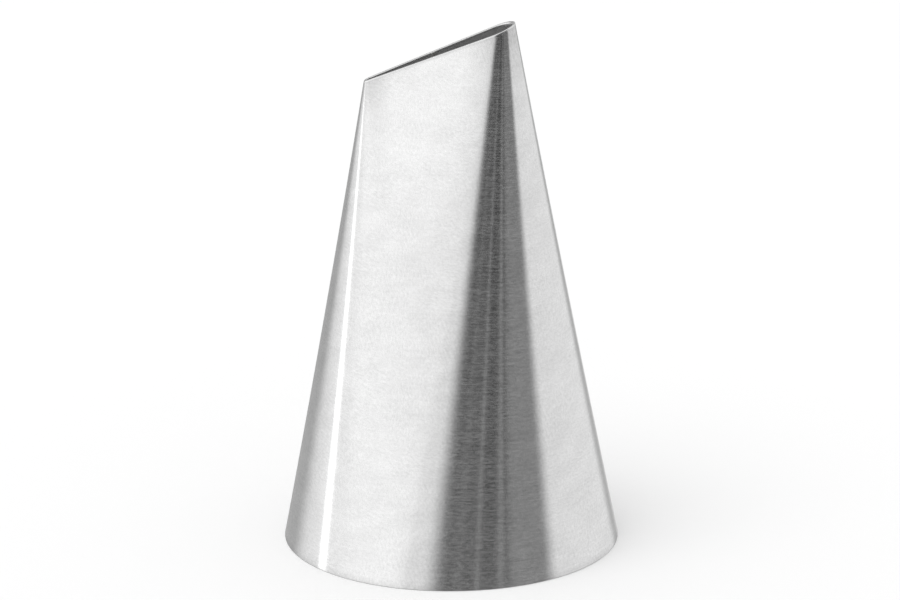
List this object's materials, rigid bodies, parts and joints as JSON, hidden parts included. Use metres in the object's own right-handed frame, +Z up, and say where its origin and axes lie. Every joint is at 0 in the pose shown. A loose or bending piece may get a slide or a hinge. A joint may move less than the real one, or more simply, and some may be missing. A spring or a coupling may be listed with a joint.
{
  "type": "piping nozzle",
  "caption": "Large petal piping nozzle: a thin steel cone pressed at its tip into a slanting teardrop slot, sharp at one end and round at the other.",
  "frame": {"origin": "centre of the base circle, on the plane that the base edge stands on", "axes": "+Z up from the base to the slot; X along the slot, from its sharp end at -X to its round end at +X; the weld runs up the +Y side"},
  "size_m": [0.033, 0.033, 0.0523],
  "materials": {
    "stainless_sheet": "fine brushed, lines running round the cone",
    "weld_metal": "dull, dressed bead"
  },
  "bodies": {
    "root": {"nozzle_shell": "stainless_sheet", "seam_weld": "weld_metal"}
  },
  "joints": []
}
